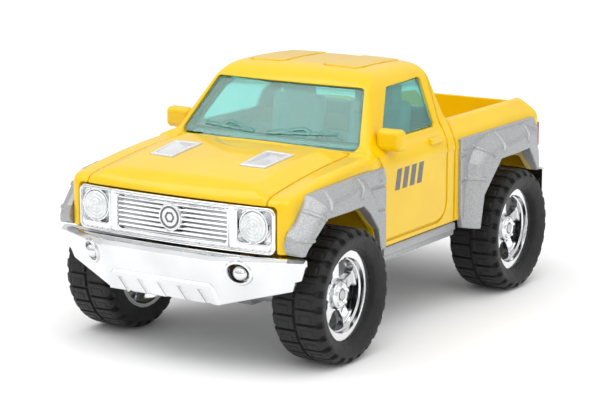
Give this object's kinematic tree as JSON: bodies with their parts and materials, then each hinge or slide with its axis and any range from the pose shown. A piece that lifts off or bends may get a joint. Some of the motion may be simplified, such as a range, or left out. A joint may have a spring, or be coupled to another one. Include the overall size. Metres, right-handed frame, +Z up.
{
  "type": "toy pull-back pickup truck",
  "caption": "Die-cast toy pickup truck with flared arches, open cargo bed, tinted cab windows and a spring motor on its rear axle.",
  "frame": {"origin": "on the ground under the middle of the truck: the bottom centre of its bounding box", "axes": "+Z up, front of the truck towards -Y, the truck's own left side towards +X"},
  "size_m": [0.0664, 0.1244, 0.0577],
  "materials": {
    "body_enamel": "gloss yellow enamel on die-cast metal",
    "tinted_window": "clear teal-tinted moulding",
    "grey_plastic": "light grey moulding",
    "dark_plastic": "dark moulding",
    "chrome_plating": "vacuum-plated chrome",
    "badge_print": "printed badge disc",
    "clear_lens": "clear lens",
    "silver_flake": "satin moulding with metallic flake",
    "red_lens": "gloss red lens",
    "zinc_screw": "zinc-plated",
    "axle_steel": "drawn steel",
    "tyre_rubber": "soft black rubber",
    "pinion_brass": "cut brass",
    "gear_plastic": "natural acetal",
    "spring_steel": "blued spring strip"
  },
  "bodies": {
    "truck": {"body_shell": "body_enamel", "window_glass": "tinted_window", "interior_tub": "grey_plastic", "steering_wheel": "dark_plastic", "grille": "chrome_plating", "grille_badge": "badge_print", "headlamp_left": "clear_lens", "headlamp_right": "clear_lens", "hood_vent_left": "silver_flake", "hood_vent_right": "silver_flake", "front_bumper": "chrome_plating", "rear_bumper": "chrome_plating", "tail_lamp_left": "red_lens", "tail_lamp_right": "red_lens", "flare_front_left": "silver_flake", "flare_front_right": "silver_flake", "flare_rear_left": "silver_flake", "flare_rear_right": "silver_flake", "mirror_left": "body_enamel", "mirror_right": "body_enamel", "chassis_base": "silver_flake", "chassis_screws": "zinc_screw", "motor_case_left": "dark_plastic", "motor_case_right": "dark_plastic", "motor_screws": "zinc_screw", "cluster_shaft": "axle_steel", "spring_arbor": "axle_steel"},
    "front_wheels": {"front_axle": "axle_steel", "rim_front_left": "chrome_plating", "rim_front_right": "chrome_plating", "tyre_front_left": "tyre_rubber", "tyre_front_right": "tyre_rubber"},
    "rear_wheels": {"rear_axle": "axle_steel", "rim_rear_left": "chrome_plating", "rim_rear_right": "chrome_plating", "tyre_rear_left": "tyre_rubber", "tyre_rear_right": "tyre_rubber", "axle_pinion": "pinion_brass"},
    "cluster": {"cluster_gear": "gear_plastic"},
    "barrel": {"spring_barrel": "gear_plastic", "mainspring": "spring_steel"}
  },
  "joints": [
    {"name": "front_wheels_spin", "type": "hinge", "parent": "truck", "child": "front_wheels", "pos_m": [0, -0.03685, 0.0144], "axis": [1, 0, 0], "continuous": true},
    {"name": "rear_wheels_spin", "type": "hinge", "parent": "truck", "child": "rear_wheels", "pos_m": [0, 0.03915, 0.0144], "axis": [1, 0, 0], "continuous": true},
    {"name": "cluster_spin", "type": "hinge", "parent": "truck", "child": "cluster", "pos_m": [0, 0.03188, 0.0186], "axis": [1, 0, 0], "continuous": true},
    {"name": "barrel_spin", "type": "hinge", "parent": "truck", "child": "barrel", "pos_m": [0, 0.02347, 0.0186], "axis": [1, 0, 0], "continuous": true}
  ],
  "couplings": [
    {"joint": "cluster_spin", "follows": "rear_wheels_spin", "ratio": -0.4},
    {"joint": "barrel_spin", "follows": "rear_wheels_spin", "ratio": 0.16}
  ]
}
